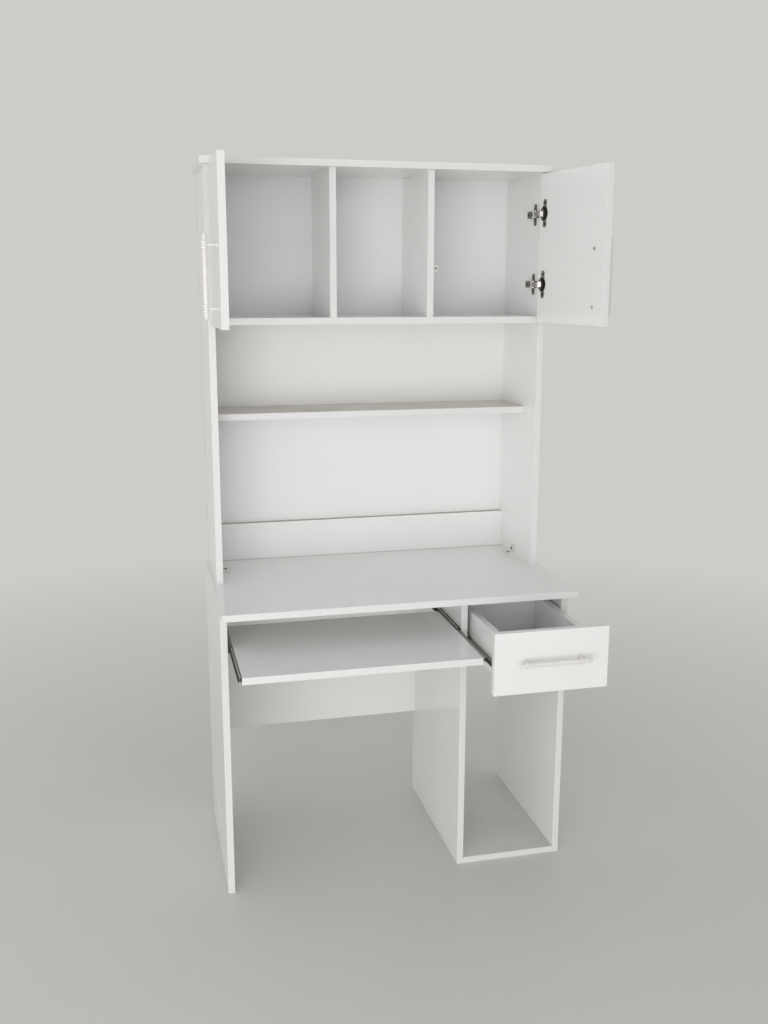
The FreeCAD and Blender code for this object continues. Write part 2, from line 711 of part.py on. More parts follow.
def hinge_cups(label):
    single = new_body(label + "_single", False)
    sketch = sketch_on(single, "XZ_Plane", "ears")
    rectangle(sketch, ("ear_middle - ear_width / 2", "0 - ear_length / 2"),
              ("ear_middle + ear_width / 2", "ear_length / 2"))
    pad(sketch, "ear_sheet", "ear_plate", back=True)
    fillet(single, lambda edge: along(edge, 1), "ear_width * 0.4", "ear_round")
    sketch = sketch_on(single, "XZ_Plane", "cup_outline")
    circle(sketch, ("cup_from_edge", "0"), "cup_radius")
    pad(sketch, "cup_depth", "cup")
    sketch = sketch_on(single, "XZ_Plane", "mouth", "0 - ear_sheet")
    circle(sketch, ("cup_from_edge", "0"), "cup_radius - cup_wall")
    pocket(sketch, "cup_depth + ear_sheet - cup_wall", "mouth_cut", back=True)
    sketch = sketch_on(single, "XZ_Plane", "ear_holes")
    for end in ("0 - ", ""):
        circle(sketch, ("ear_middle + ear_hole_shift", end + "ear_hole_spacing / 2"), "ear_hole")
    pocket(sketch, "ear_sheet * 2", "ear_cut", both=True)
    sketch = sketch_on(single, "XY_Plane", "pin_outline")
    circle(sketch, ("cup_pin_from_edge", "0 - cup_pin_deep"), "hinge_pin")
    pad(sketch, "cup_pin_length", "pin", both=True)
    return pair_of(label, single, "hinge_spacing / 2")


def door(label, side):
    """Door board with cup bores and handle holes. The sign keeps the handle low on a turned board."""
    body = new_body(label)
    sketch = sketch_on(body, "XY_Plane", "outline")
    rectangle(sketch, ("0", "0 - board"), ("door_width", "0"))
    pad(sketch, "door_height", "board", both=True)
    soften(body, ALL_SIDES)
    sketch = sketch_on(body, "XZ_Plane", "cup_bores")
    for end in ("0 - ", ""):
        circle(sketch, ("cup_from_edge", end + "hinge_spacing / 2"), "cup_radius + cup_play")
    pocket(sketch, "cup_depth + cup_play", "cup_cut", back=True)
    sketch = sketch_on(body, "XZ_Plane", "handle_holes")
    for end in ("-", "+"):
        circle(sketch, ("door_width - door_handle_from_edge",
                        side + "door_handle_below_middle " + end + " handle_centres / 2"), "screw_hole")
    pocket(sketch, None, "handle_cut")
    return body


def hang_door(name, corner_x, angle, mirrored):
    """Build one door and its hinges and put them where the hinge chain carries them at the stored angle."""
    flip = TURNED if mirrored else STRAIGHT
    sign = -1.0 if mirrored else 1.0
    base = V(num(corner_x + " - origin_from_left"), num("hutch_front - origin_from_front"),
             num("door_middle"))
    carcass = FreeCAD.Placement(base, flip)
    opened = num(angle)
    link_angle = num("link_turn") * opened
    pin = FreeCAD.Placement(V(num("hinge_pin_in"), num("hinge_pin_back"), 0),
                            FreeCAD.Rotation(V(0, 0, 1), link_angle))
    arm_to_cup = V(num("cup_pin_x - hinge_pin_in"), num("cup_pin_y - hinge_pin_back"), 0)
    swing = FreeCAD.Placement(arm_to_cup, FreeCAD.Rotation(V(0, 0, 1), -link_angle - opened))
    from_cup = FreeCAD.Placement(V(-num("cup_pin_from_edge"), num("cup_pin_deep"), 0), STRAIGHT)
    hung = carcass.multiply(pin).multiply(swing).multiply(from_cup)
    low = "0 + " if mirrored else "0 - "
    grip = V(num("door_width - door_handle_from_edge"), 0, -sign * num("door_handle_below_middle"))
    outside = grip + V(0, -num("board + handle_reach"), 0)
    hinge_plates(name + "_hinge_plates").Placement = carcass
    hinge_arms(name + "_hinge_arms").Placement = carcass
    hinge_links(name + "_hinge_links").Placement = carcass.multiply(pin)
    hinge_cups(name + "_hinge_cups").Placement = hung
    door(name, low).Placement = hung
    handle(name + "_handle").Placement = hung.multiply(FreeCAD.Placement(outside, STRAIGHT))
    handle_screws(name + "_handle_screws").Placement = hung.multiply(FreeCAD.Placement(grip, STRAIGHT))


hang_door("left_door", "hutch_left_in", "left_door_angle", False)
hang_door("right_door", "hutch_right_in", "right_door_angle", True)

doc.recompute()

for item in doc.Objects:
    if "Invalid" in item.State or "Error" in item.State:
        raise RuntimeError("not built: " + item.Label)
    shape = getattr(item, "Shape", None)
    if shape is not None and item in pieces and (shape.isNull() or not shape.isValid()):
        raise RuntimeError("bad shape: " + item.Label)

os.makedirs("parts", exist_ok=True)
for item in pieces:
    item.Shape.exportStep(os.path.join("parts", item.Label + ".step"))
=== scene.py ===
import json
import math
import bmesh
import bpy
from mathutils import Euler, Matrix, Vector


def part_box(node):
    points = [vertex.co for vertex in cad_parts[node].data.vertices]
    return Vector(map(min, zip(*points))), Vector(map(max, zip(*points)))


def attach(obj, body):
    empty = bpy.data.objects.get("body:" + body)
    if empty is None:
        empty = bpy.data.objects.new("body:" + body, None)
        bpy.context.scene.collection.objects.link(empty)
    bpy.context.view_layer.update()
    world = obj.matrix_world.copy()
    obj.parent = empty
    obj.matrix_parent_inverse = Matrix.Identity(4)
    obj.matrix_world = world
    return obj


# Student desk with hutch: glossy white boards, dark ball slides, nickel hinges and cream bar handles.
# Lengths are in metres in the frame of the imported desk. MM turns millimetres into metres.
MM = 0.001

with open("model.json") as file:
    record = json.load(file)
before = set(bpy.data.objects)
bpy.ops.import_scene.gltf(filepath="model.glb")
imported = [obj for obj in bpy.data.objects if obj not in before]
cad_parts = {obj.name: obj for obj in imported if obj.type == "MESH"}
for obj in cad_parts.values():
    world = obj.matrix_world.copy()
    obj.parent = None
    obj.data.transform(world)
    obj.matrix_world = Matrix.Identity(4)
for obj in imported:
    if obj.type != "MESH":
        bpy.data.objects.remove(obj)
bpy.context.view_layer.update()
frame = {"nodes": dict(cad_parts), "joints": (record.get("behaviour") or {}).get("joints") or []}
nodes = frame["nodes"]
joints = {joint["name"]: joint for joint in frame["joints"]}

# How far the doors stand open in the stored pose
LEFT_OPEN = math.radians(90)
RIGHT_OPEN = math.radians(98)


# Colour and node helpers

def srgb(code):
    """Linear colour of an sRGB hex value."""
    parts = [int(code[i:i + 2], 16) / 255 for i in (0, 2, 4)]
    linear = [part / 12.92 if part <= 0.04045 else ((part + 0.055) / 1.055) ** 2.4 for part in parts]
    return (*linear, 1.0)


def per(millimetres):
    """Pattern scale whose features are about so many millimetres wide."""
    return 1 / (millimetres * MM)


def add(tree, kind, inputs=(), out=0, **settings):
    """One node with its settings, and the output wanted of it. The inputs are constants or sockets,
    in the node's own order, or by name or number."""
    node = tree.nodes.new("ShaderNode" + kind)
    for name, value in settings.items():
        setattr(node, name, value)
    for key, value in inputs.items() if isinstance(inputs, dict) else enumerate(inputs):
        if isinstance(value, bpy.types.NodeSocket):
            tree.links.new(value, node.inputs[key])
        else:
            node.inputs[key].default_value = value
    return node.outputs[out] if node.outputs else None


def new_material(name):
    """An empty material, its node tree and the place on the object."""
    material = bpy.data.materials.new(name)
    material.use_nodes = True
    tree = material.node_tree
    tree.nodes.clear()
    return material, tree, add(tree, "TexCoord", out="Object")


def close_material(tree, surface, height, deep):
    """The shader with its settings, on a relief that a height pattern draws so deep, and the output."""
    normal = add(tree, "Bump", {"Height": height, "Distance": deep, "Strength": 1.0})
    shader = add(tree, "BsdfPrincipled", {**surface, "Normal": normal})
    add(tree, "OutputMaterial", [shader])


def folded(tree, place, axis, steps):
    """Distance along an axis to the nearest of the lines that lie mirrored about each step in turn."""
    off = add(tree, "SeparateXYZ", [place], axis)
    for step in steps:
        off = add(tree, "Math", [off, step], operation="SUBTRACT")
        off = add(tree, "Math", [off], operation="ABSOLUTE")
    return off


def paint(material, name):
    """Give a CAD node its material."""
    slots = nodes[name].material_slots
    if slots:
        slots[0].material = material
    else:
        nodes[name].data.materials.append(material)


# Boards and sheets

BAND_THICK = 1 * MM
FILM_THICK = 0.15 * MM
SHELL_STEP = 0.1 * MM
FOOT_SCUFFS = 30 * MM
CORNER_SHADE = 3 * MM
RIPPLE_DEEP = 0.001 * MM
FLAKE_DEEP = 0.1 * MM
RESIN_IOR = 1.5

# Roughness of a gloss face, and how much rougher bands, dust and raw edges are
GLOSS_ROUGH = (0.11, 0.14)
BAND_ROUGHER = 0.14
DUST_ROUGHER = 0.5
RAW_ROUGHER = 0.6


def board_axes(tree, place, name, turn):
    """Place on a board from its lowest corner, along its own axes, and the board's size."""
    back = Matrix.Rotation(-turn, 3, "Z")
    spots = [back @ vertex.co for vertex in nodes[name].data.vertices]
    low = Vector([min(spot[axis] for spot in spots) for axis in range(3)])
    high = Vector([max(spot[axis] for spot in spots) for axis in range(3)])
    own = add(tree, "Mapping", {"Vector": place, "Location": -low, "Rotation": (0, 0, -turn)})
    return own, high - low


def depth_from(tree, own, size, sides):
    """Distance to the nearest of a board's named sides, such as x- or z+."""
    axes = add(tree, "SeparateXYZ", [own]).node.outputs
    nearest = None
    for side in sides:
        axis = "xyz".index(side[0])
        depth = axes[axis]
        if side[1] == "+":
            depth = add(tree, "Math", [size[axis], depth], operation="SUBTRACT")
        nearest = depth if nearest is None else add(tree, "Math", [nearest, depth], operation="MINIMUM")
    return nearest


def melamine(name, banded, raw=(), turn=0.0, wear=0.1, dust_and_shade=None, stands=False, corner=()):
    """Chipboard faced with melamine pressed to a gloss: an even white that mirrors at a slant, with faint
    smears in the gloss. Plastic bands close its seen edges, with a fine joint line. Other edges show
    grey-brown flakes. Banded, raw and corner name sides of the board, and corner sides get a painted
    shade line. Wear says how chipped its bands are, and the colour given for the upper face is a film
    of settled dust and painted shade."""
    material, tree, place = new_material("Gloss melamine " + name.replace("_", " "))
    own, size = board_axes(tree, place, name, turn)
    clouds = add(tree, "TexNoise", {"Vector": own, "Scale": per(220), "Detail": 2.0})
    smears = add(tree, "TexNoise", {"Vector": own, "Scale": per(160), "Detail": 3.0})
    ripple = add(tree, "TexNoise", {"Vector": own, "Scale": per(7), "Detail": 1.0})
    colour = add(tree, "Mix", {0: clouds, 6: srgb("EDEDEC"), 7: srgb("F1F1F0")}, 2, data_type="RGBA")
    rough = add(tree, "MapRange", [smears, 0.35, 0.7, *GLOSS_ROUGH])

    # a film of colour on an upper face: settled dust, which takes the shine off and dulls it, together
    # with painted shade
    if dust_and_shade:
        top = depth_from(tree, own, size, ["z+"])
        top = add(tree, "MapRange", [top, FILM_THICK, 2 * FILM_THICK, 1.0, 0.0])
        share = add(tree, "MapRange", [smears, 0.3, 0.7, 0.55, 0.8])
        share = add(tree, "Math", [top, share], operation="MULTIPLY")
        colour = add(tree, "Mix", {0: share, 6: colour, 7: srgb(dust_and_shade)}, 2, data_type="RGBA")
        rough = add(tree, "Math", [share, DUST_ROUGHER, rough], operation="MULTIPLY_ADD")

    # grey scuffs where shoes and mops meet the foot of a board
    if stands:
        foot = depth_from(tree, own, size, ["z-"])
        foot = add(tree, "MapRange", [foot, 0.0, FOOT_SCUFFS, 0.3, 0.0])
        marks = add(tree, "TexNoise", {"Vector": own, "Scale": per(12), "Detail": 6.0})
        marks = add(tree, "MapRange", [marks, 0.45, 0.75, 0.0, 1.0])
        share = add(tree, "Math", [foot, marks], operation="MULTIPLY")
        colour = add(tree, "Mix", {0: share, 6: colour, 7: srgb("97928A")}, 2, data_type="RGBA")

    # painted shade: a dark line where a board meets another in an inner corner, for the shade in the
    # contact gap
    if corner:
        corner_shade = depth_from(tree, own, size, corner)
        corner_shade = add(tree, "MapRange", [corner_shade, 0.0, CORNER_SHADE, 0.55, 0.0])
        colour = add(tree, "Mix", {0: corner_shade, 6: colour, 7: srgb("8E8A85")}, 2, data_type="RGBA")

    # the joint line of a band is a tenth of a millimetre wide, and is drawn four times as wide to show
    edge = depth_from(tree, own, size, banded)
    band = add(tree, "MapRange", [edge, BAND_THICK - SHELL_STEP, BAND_THICK, 1.0, 0.0])
    offset = add(tree, "Math", [edge, BAND_THICK], operation="SUBTRACT")
    offset = add(tree, "Math", [offset], operation="ABSOLUTE")
    joint = add(tree, "MapRange", [offset, SHELL_STEP, 3 * SHELL_STEP, 0.25, 0.0])
    colour = add(tree, "Mix", {0: band, 6: colour, 7: srgb("E5E5E4")}, 2, data_type="RGBA")
    colour = add(tree, "Mix", {0: joint, 6: colour, 7: srgb("8F8B84")}, 2, data_type="RGBA")
    rough = add(tree, "Math", [band, BAND_ROUGHER, rough], operation="MULTIPLY_ADD")

    # small chips along the arris of a band, more of them and darker with more wear
    arris = add(tree, "MapRange", [edge, BAND_THICK, 2.2 * BAND_THICK, 1.0, 0.0])
    chips = add(tree, "TexNoise", {"Vector": own, "Scale": per(8), "Detail": 4.0})
    chips = add(tree, "MapRange", [chips, 0.76 - 0.2 * wear, 0.8 - 0.2 * wear, 0.0, 0.3 + 0.3 * wear])
    chips = add(tree, "Math", [arris, chips], operation="MULTIPLY")
    colour = add(tree, "Mix", {0: chips, 6: colour, 7: srgb("A69B8B")}, 2, data_type="RGBA")

    # raw cut chipboard: pale and brown flakes two to three millimetres long
    if raw:
        bare = depth_from(tree, own, size, raw)
        bare = add(tree, "MapRange", [bare, SHELL_STEP, 2 * SHELL_STEP, 1.0, 0.0])
        flakes = add(tree, "TexVoronoi", {"Vector": own, "Scale": per(2.6)}, "Color")
        flakes = add(tree, "SeparateColor", [flakes])
        wood = add(tree, "Mix", {0: flakes, 6: srgb("A29A90"), 7: srgb("CCC4B8")}, 2, data_type="RGBA")
        colour = add(tree, "Mix", {0: bare, 6: colour, 7: wood}, 2, data_type="RGBA")
        rough = add(tree, "Math", [bare, RAW_ROUGHER, rough], operation="MULTIPLY_ADD")
        flakes = add(tree, "Math", [bare, flakes], operation="MULTIPLY")
        ripple = add(tree, "Math", [flakes, FLAKE_DEEP / RIPPLE_DEEP, ripple], operation="MULTIPLY_ADD")

    close_material(tree, {"Base Color": colour, "Roughness": rough, "IOR": RESIN_IOR}, ripple, RIPPLE_DEEP)
    paint(material, name)


NAIL_STEP = 110 * MM
NAIL_IN = 8 * MM
NAIL_RADIUS = 2 * MM


def nail_heads(tree, own, size):
    """One on the flat heads of the nails along the rim of an upright sheet, and zero elsewhere."""
    axes = add(tree, "SeparateXYZ", [own]).node.outputs
    nearest = None
    for along, rims in (("X", ["z-", "z+"]), ("Z", ["x-", "x+"])):
        inset = add(tree, "Math", [depth_from(tree, own, size, rims), NAIL_IN], operation="SUBTRACT")
        step = add(tree, "Math", [axes[along], NAIL_STEP / 2], operation="PINGPONG")
        away = add(tree, "CombineXYZ", [inset, step])
        away = add(tree, "VectorMath", [away], "Value", operation="LENGTH")
        nearest = away if nearest is None else add(tree, "Math", [nearest, away], operation="MINIMUM")
    return add(tree, "MapRange", [nearest, NAIL_RADIUS - 2 * SHELL_STEP, NAIL_RADIUS, 1.0, 0.0])


FIBRE_ROUGH = 0.75
FIBRE_DEEP = 0.1 * MM
SATIN_ROUGH = 0.36
SATIN_DEEP = 0.004 * MM


def hardboard(name, white_side, nailed=False):
    """Thin hardboard: one face lacquered white with a soft sheen, the other and the cut edges bare brown
    fibre, with nail heads along the rim where it is nailed on."""
    material, tree, place = new_material("Lacquered hardboard " + name.replace("_", " "))
    own, size = board_axes(tree, place, name, 0.0)
    film = depth_from(tree, own, size, [white_side])
    film = add(tree, "MapRange", [film, FILM_THICK, FILM_THICK + SHELL_STEP, 1.0, 0.0])
    clouds = add(tree, "TexNoise", {"Vector": own, "Scale": per(150), "Detail": 3.0})
    lacquer = add(tree, "Mix", {0: clouds, 6: srgb("EDEDED"), 7: srgb("F0F0F0")}, 2, data_type="RGBA")
    drawn_out = add(tree, "Mapping", {"Vector": own, "Scale": (0.4, 1, 1)})
    fibres = add(tree, "TexNoise", {"Vector": drawn_out, "Scale": per(4), "Detail": 5.0})
    tone = add(tree, "Math", [fibres, clouds], operation="ADD")
    tone = add(tree, "MapRange", [tone, 0.7, 1.3, 0.0, 1.0])
    bare = add(tree, "Mix", {0: tone, 6: srgb("7E6244"), 7: srgb("957850")}, 2, data_type="RGBA")
    if nailed:
        heads = nail_heads(tree, own, size)
        bare = add(tree, "Mix", {0: heads, 6: bare, 7: srgb("A19E99")}, 2, data_type="RGBA")
    colour = add(tree, "Mix", {0: film, 6: bare, 7: lacquer}, 2, data_type="RGBA")
    rough = add(tree, "MapRange", [film, 0.0, 1.0, FIBRE_ROUGH, SATIN_ROUGH])
    grain = add(tree, "TexNoise", {"Vector": own, "Scale": per(2.5), "Detail": 2.0})
    depth = add(tree, "MapRange", [film, 0.0, 1.0, FIBRE_DEEP, SATIN_DEEP])
    close_material(tree, {"Base Color": colour, "Roughness": rough, "IOR": RESIN_IOR}, grain, depth)
    paint(material, name)


# Metal, lacquer and plastic

PAINTED_HIGHLIGHT_HALF = 1.1 * MM
PAINTED_HIGHLIGHT_FADE = 1 * MM
ROLLED_DEEP = 0.005 * MM


def slide_steel(slide):
    """Rolled slide steel, plated black, with a dull metal sheen. A painted highlight lies as a paler,
    streaky line along each flange of the two slides."""
    material, tree, place = new_material("Black plated steel " + slide.replace("_", " "))
    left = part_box(slide + "_left_inner")
    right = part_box(slide + "_right_inner")
    outward = (right[0].x + right[1].x) / 2
    middle = (left[0].x + right[1].x) / 2
    off = folded(tree, place, "X", (middle, outward - middle))
    painted_highlight = add(tree, "MapRange", [off, PAINTED_HIGHLIGHT_HALF, PAINTED_HIGHLIGHT_HALF + PAINTED_HIGHLIGHT_FADE, 1.0, 0.0])
    drawn_out = add(tree, "Mapping", {"Vector": place, "Scale": (1, 0.02, 1)})
    highlight_streaks = add(tree, "TexNoise", {"Vector": drawn_out, "Scale": per(1.6), "Detail": 2.0})
    highlight_streaks = add(tree, "MapRange", [highlight_streaks, 0.2, 0.6, 0.6, 1.0])
    painted_highlight = add(tree, "Math", [painted_highlight, highlight_streaks], operation="MULTIPLY")
    film = add(tree, "TexNoise", {"Vector": place, "Scale": per(18), "Detail": 3.0})
    # painted highlight: pale along the stripe, dark steel elsewhere
    colour = add(tree, "Mix", {0: painted_highlight, 6: srgb("474844"), 7: srgb("C4C5C1")}, 2, data_type="RGBA")
    rough = add(tree, "MapRange", [film, 0.3, 0.7, 0.38, 0.52])
    grain = add(tree, "TexNoise", {"Vector": place, "Scale": per(1.2), "Detail": 1.0})
    close_material(tree, {"Base Color": colour, "Metallic": 0.4, "Roughness": rough}, grain, ROLLED_DEEP)
    return material


DRAWN_DEEP = 0.004 * MM


def plated_steel(name, pale, dark, smooth, dull, painted_light=None):
    """Plated sheet steel: bright, with cloudy stains that dull it and short drawing lines that break the
    shine. An optional pattern paints light and shade: it says how dark a place is painted."""
    material, tree, place = new_material(name)
    stains = add(tree, "TexNoise", {"Vector": place, "Scale": per(6), "Detail": 4.0})
    tone = add(tree, "MapRange", [stains, 0.35, 0.7, 0.0, 1.0])
    # painted light and shade: the pattern sets the tone, with a little of the stains kept
    if painted_light:
        tone = painted_light(tree, place)
        tone = add(tree, "Math", [stains, -0.3, tone], operation="MULTIPLY_ADD", use_clamp=True)
    colour = add(tree, "Mix", {0: tone, 6: srgb(pale), 7: srgb(dark)}, 2, data_type="RGBA")
    rough = add(tree, "MapRange", [tone, 0.0, 1.0, smooth, dull])
    drawn_out = add(tree, "Mapping", {"Vector": place, "Scale": (1, 1, 0.08)})
    lines = add(tree, "TexNoise", {"Vector": drawn_out, "Scale": per(0.9), "Detail": 2.0})
    close_material(tree, {"Base Color": colour, "Metallic": 1.0, "Roughness": rough}, lines, DRAWN_DEEP)
    return material


PLATE_FROM_FRONT = 37 * MM
HINGE_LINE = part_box("hutch_left_side")[0].y + PLATE_FROM_FRONT
NECK_AHEAD = 11 * MM
NECK_FADE = 1 * MM
EAR_LENGTH = 65 * MM
CUP_SHADE_REACH = 13 * MM
CUP_FADE = 4 * MM


def arm_painted_light(tree, place):
    """Painted light on a hinge arm: a painted highlight on the neck, ahead of its plate's screw line, and
    painted shade, rougher, on the tail.
    """
    back = add(tree, "SeparateXYZ", [place], "Y")
    neck_end = HINGE_LINE - NECK_AHEAD
    return add(tree, "MapRange", [back, neck_end - NECK_FADE, neck_end, 0.2, 1.2])


def cup_painted_shade(tree, place):
    """Painted shade on the two cups of a door, dark about their middles and paler on the ears."""
    low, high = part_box("left_door_hinge_cups")
    off = folded(tree, place, "Z", ((low.z + high.z) / 2, (high.z - low.z - EAR_LENGTH) / 2))
    return add(tree, "MapRange", [off, CUP_SHADE_REACH, CUP_SHADE_REACH + CUP_FADE, 1.15, 0.4])


HANDLE_CENTRES = 128 * MM
BEAD_FROM_POST = 5.5 * MM
BEAD_HALF = 1.8 * MM
GROOVE_SHADE_REACH = 2.5 * MM
SPRAYED_DEEP = 0.006 * MM


def cream_lacquer(name, axis):
    """Cream satin lacquer sprayed on a turned metal bar. The beads are smoother, with a painted
    highlight, and painted shade sits in the grooves beside them."""
    material, tree, place = new_material("Cream lacquer " + name.replace("_", " "))
    low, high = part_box(name)
    middle = (low[axis] + high[axis]) / 2
    reach = folded(tree, place, axis, (middle, HANDLE_CENTRES / 2, BEAD_FROM_POST))
    bead = add(tree, "MapRange", [reach, BEAD_HALF - 2 * SHELL_STEP, BEAD_HALF, 1.0, 0.0])
    groove_shade = add(tree, "MapRange", [reach, BEAD_HALF, BEAD_HALF + GROOVE_SHADE_REACH, 0.35, 0.0])
    patches = add(tree, "TexNoise", {"Vector": place, "Scale": per(14), "Detail": 3.0})
    colour = add(tree, "Mix", {0: patches, 6: srgb("E2DFDA"), 7: srgb("ECE9E5")}, 2, data_type="RGBA")
    # painted shade in the grooves beside each bead, and a painted highlight on the beads
    colour = add(tree, "Mix", {0: groove_shade, 6: colour, 7: srgb("B5AFA8")}, 2, data_type="RGBA")
    colour = add(tree, "Mix", {0: bead, 6: colour, 7: srgb("F0EFEC")}, 2, data_type="RGBA")
    rough = add(tree, "MapRange", [patches, 0.3, 0.7, 0.3, 0.4])
    rough = add(tree, "Math", [bead, -0.16, rough], operation="MULTIPLY_ADD")
    grain = add(tree, "TexNoise", {"Vector": place, "Scale": per(2), "Detail": 1.0})
    surface = {"Base Color": colour, "Roughness": rough, "IOR": RESIN_IOR, "Coat Weight": 0.25}
    close_material(tree, surface, grain, SPRAYED_DEEP)
    paint(material, name)


PLASTIC_IOR = 1.46
ERODED_DEEP = 0.01 * MM


def moulded_plastic(name, pale, dark, shine):
    """Injection-moulded plastic with a fine spark-eroded grain, a little uneven in colour."""
    material, tree, place = new_material(name)
    flow = add(tree, "TexNoise", {"Vector": place, "Scale": per(8), "Detail": 3.0})
    grain = add(tree, "TexNoise", {"Vector": place, "Scale": per(0.8), "Detail": 2.0})
    colour = add(tree, "Mix", {0: flow, 6: srgb(pale), 7: srgb(dark)}, 2, data_type="RGBA")
    rough = add(tree, "MapRange", [grain, 0.3, 0.7, shine, shine + 0.15])
    surface = {"Base Color": colour, "Roughness": rough, "IOR": PLASTIC_IOR}
    close_material(tree, surface, grain, ERODED_DEEP)
    return material


# The finish of each CAD node

FRONT = ["y-"]
DOOR_EDGES = ["y-", "y+", "z-", "z+"]
TOP_EDGES = ["x-", "x+", "y-"]

for name in ("base_left_side", "base_partition", "base_right_side"):
    melamine(name, FRONT, ["y+", "z-"], stands=True)
# painted shade: the grey film darkens the bay floor's top for the shade under the desk
melamine("base_bottom_board", FRONT, ["y+"], dust_and_shade="C6C6C1")
melamine("modesty_panel", ["z-"])
melamine("desktop", TOP_EDGES, ["y+"])
melamine("hutch_top", TOP_EDGES, ["y+"])
for name in ("hutch_left_side", "hutch_right_side", "cabinet_floor", "divider_left", "divider_right"):
    melamine(name, FRONT)
# the shelf's beige film is partly dust and partly painted shade under the cabinet
melamine("middle_shelf", FRONT, wear=0.5, dust_and_shade="CAC3B4")
# painted shade: a dark line along the rail's foot where it meets the desktop
melamine("rear_rail", ["x-"], ["z+"], corner=["z-"])
melamine("keyboard_tray", FRONT, ["x-", "x+", "y+"])
melamine("drawer_front", ["x-", "x+", "z-", "z+"])
for name in ("drawer_left_side", "drawer_right_side"):
    melamine(name, ["z+"], ["y+", "z-"])
melamine("drawer_back", ["z+"], ["z-"])
melamine("left_door", DOOR_EDGES)
melamine("right_door", DOOR_EDGES, turn=RIGHT_OPEN - math.pi / 2)
hardboard("hutch_back_panel", "y-", nailed=True)
hardboard("drawer_bottom", "z+")
for name, axis in (("drawer_handle", "X"), ("left_door_handle", "Z"), ("right_door_handle", "Z")):
    cream_lacquer(name, "XYZ".index(axis))

tray_steel = slide_steel("tray_slide")
drawer_steel = slide_steel("drawer_slide")
zinc = plated_steel("Zinc plated steel", "C8C9CA", "9B9C9D", 0.28, 0.45)
bright_nickel = plated_steel("Polished nickel", "CDCBC7", "B5B2AD", 0.16, 0.26)
# painted shade: a darker copy of the nickel, for the dark room that the hinge plates mirror
shaded_nickel = plated_steel("Nickel with painted shade", "7E7A74", "5E5B55", 0.24, 0.4)
# painted highlight on the arm's neck and painted shade on its tail
arm_nickel = plated_steel("Nickel hinge arm", "ECEAE6", "7C7770", 0.18, 0.4, arm_painted_light)
# painted shade on the middles of the hinge cups
cup_nickel = plated_steel("Nickel hinge cup", "A5A19B", "85817C", 0.2, 0.4, cup_painted_shade)
# painted shade: a still darker copy of the nickel for the small screws
deep_shaded_nickel = plated_steel("Nickel with deep painted shade", "55524D", "3B3935", 0.24, 0.4)
white_plastic = moulded_plastic("White moulded plastic", "E0E0DC", "D6D6D1", 0.35)
beige_plastic = moulded_plastic("Beige moulded plastic", "E0DDD7", "D3CFC8", 0.4)
brown_plastic = moulded_plastic("Brown moulded plastic", "523A34", "432E29", 0.4)

# The first of these words that is in a node's name says its finish
FINISHES = {"retainer": zinc, "tray_slide": tray_steel, "drawer_slide": drawer_steel,
            "hinge_plates": shaded_nickel, "hinge_arms": arm_nickel, "hinge_links": bright_nickel,
            "hinge_cups": cup_nickel, "handle_screws": zinc, "corner_block": white_plastic,
            "door_catch": beige_plastic}
for name in nodes:
    for word, finish in FINISHES.items():
        if word in name:
            paint(finish, name)
            break


# Small pieces

SMOOTH_ANGLE = math.radians(35)

# A face points along an axis where that much of its normal does
ALONG_AXIS = 0.9

# Blades cut a screw head's recess, half sunk in its top. The head's rounding and the blades' depth are
# shares of its height, their length and width shares of its radius, and their foot a share of their top.
HEAD_ROUNDED = 0.7
BLADE_DEEP = 1.1
BLADE_LONG = 1.2
BLADE_WIDE = 0.24
BLADE_FOOT = 0.55
HEAD_SIDES = 28

STOP_ROUND = 0.35 * MM


def deselect():
    bpy.ops.object.select_all(action="DESELECT")


def edit_faces(piece, wanted):
    """Go into edit mode with only the wanted faces selected."""
    bpy.context.view_layer.objects.active = piece
    bpy.ops.object.mode_set(mode="EDIT")
    bpy.ops.mesh.select_mode(type="FACE")
    bpy.ops.mesh.select_all(action="DESELECT")
    mesh = bmesh.from_edit_mesh(piece.data)
    for face in mesh.faces:
        face.select_set(wanted(face))
    bmesh.update_edit_mesh(piece.data)


def leave_edit():
    bpy.ops.object.mode_set(mode="OBJECT")


def block(size, place):
    """A block of that size with its middle at place, as the start of a piece."""
    deselect()
    bpy.ops.mesh.primitive_cube_add(size=1, location=place)
    piece = bpy.context.object
    piece.dimensions = size
    bpy.ops.object.transform_apply(location=True, rotation=True, scale=True)
    return piece


def shade_smooth(piece):
    """Shade a piece smooth, except over its sharp edges."""
    deselect()
    piece.select_set(True)
    bpy.context.view_layer.objects.active = piece
    bpy.ops.object.shade_smooth_by_angle(angle=SMOOTH_ANGLE)
    deselect()


def pan_screw(radius, height):
    """Screw head with a domed rim and a cross recess, its seat at the origin and its top up along z."""
    deselect()
    middle = (0, 0, height / 2)
    bpy.ops.mesh.primitive_cylinder_add(vertices=HEAD_SIDES, radius=radius, depth=height, location=middle)
    head = bpy.context.object
    bpy.ops.object.transform_apply(location=True)
    edit_faces(head, lambda face: face.normal.z > ALONG_AXIS)
    bpy.ops.mesh.bevel(offset=height * HEAD_ROUNDED, segments=4, affect="EDGES")
    leave_edit()
    long = radius * BLADE_LONG
    wide = radius * BLADE_WIDE
    deep = height * BLADE_DEEP
    for size in ((long, wide, deep), (wide, long, deep)):
        blade = block(size, (0, 0, height))
        edit_faces(blade, lambda face: face.normal.z < -ALONG_AXIS)
        foot = (0, 0, height - deep / 2)
        bpy.ops.transform.resize(value=(BLADE_FOOT, BLADE_FOOT, 1), center_override=foot)
        leave_edit()
        cut = head.modifiers.new("recess", "BOOLEAN")
        cut.object = blade
        cut.solver = "EXACT"
        bpy.context.view_layer.objects.active = head
        bpy.ops.object.modifier_apply(modifier=cut.name)
        bpy.data.objects.remove(blade)
    shade_smooth(head)
    return head


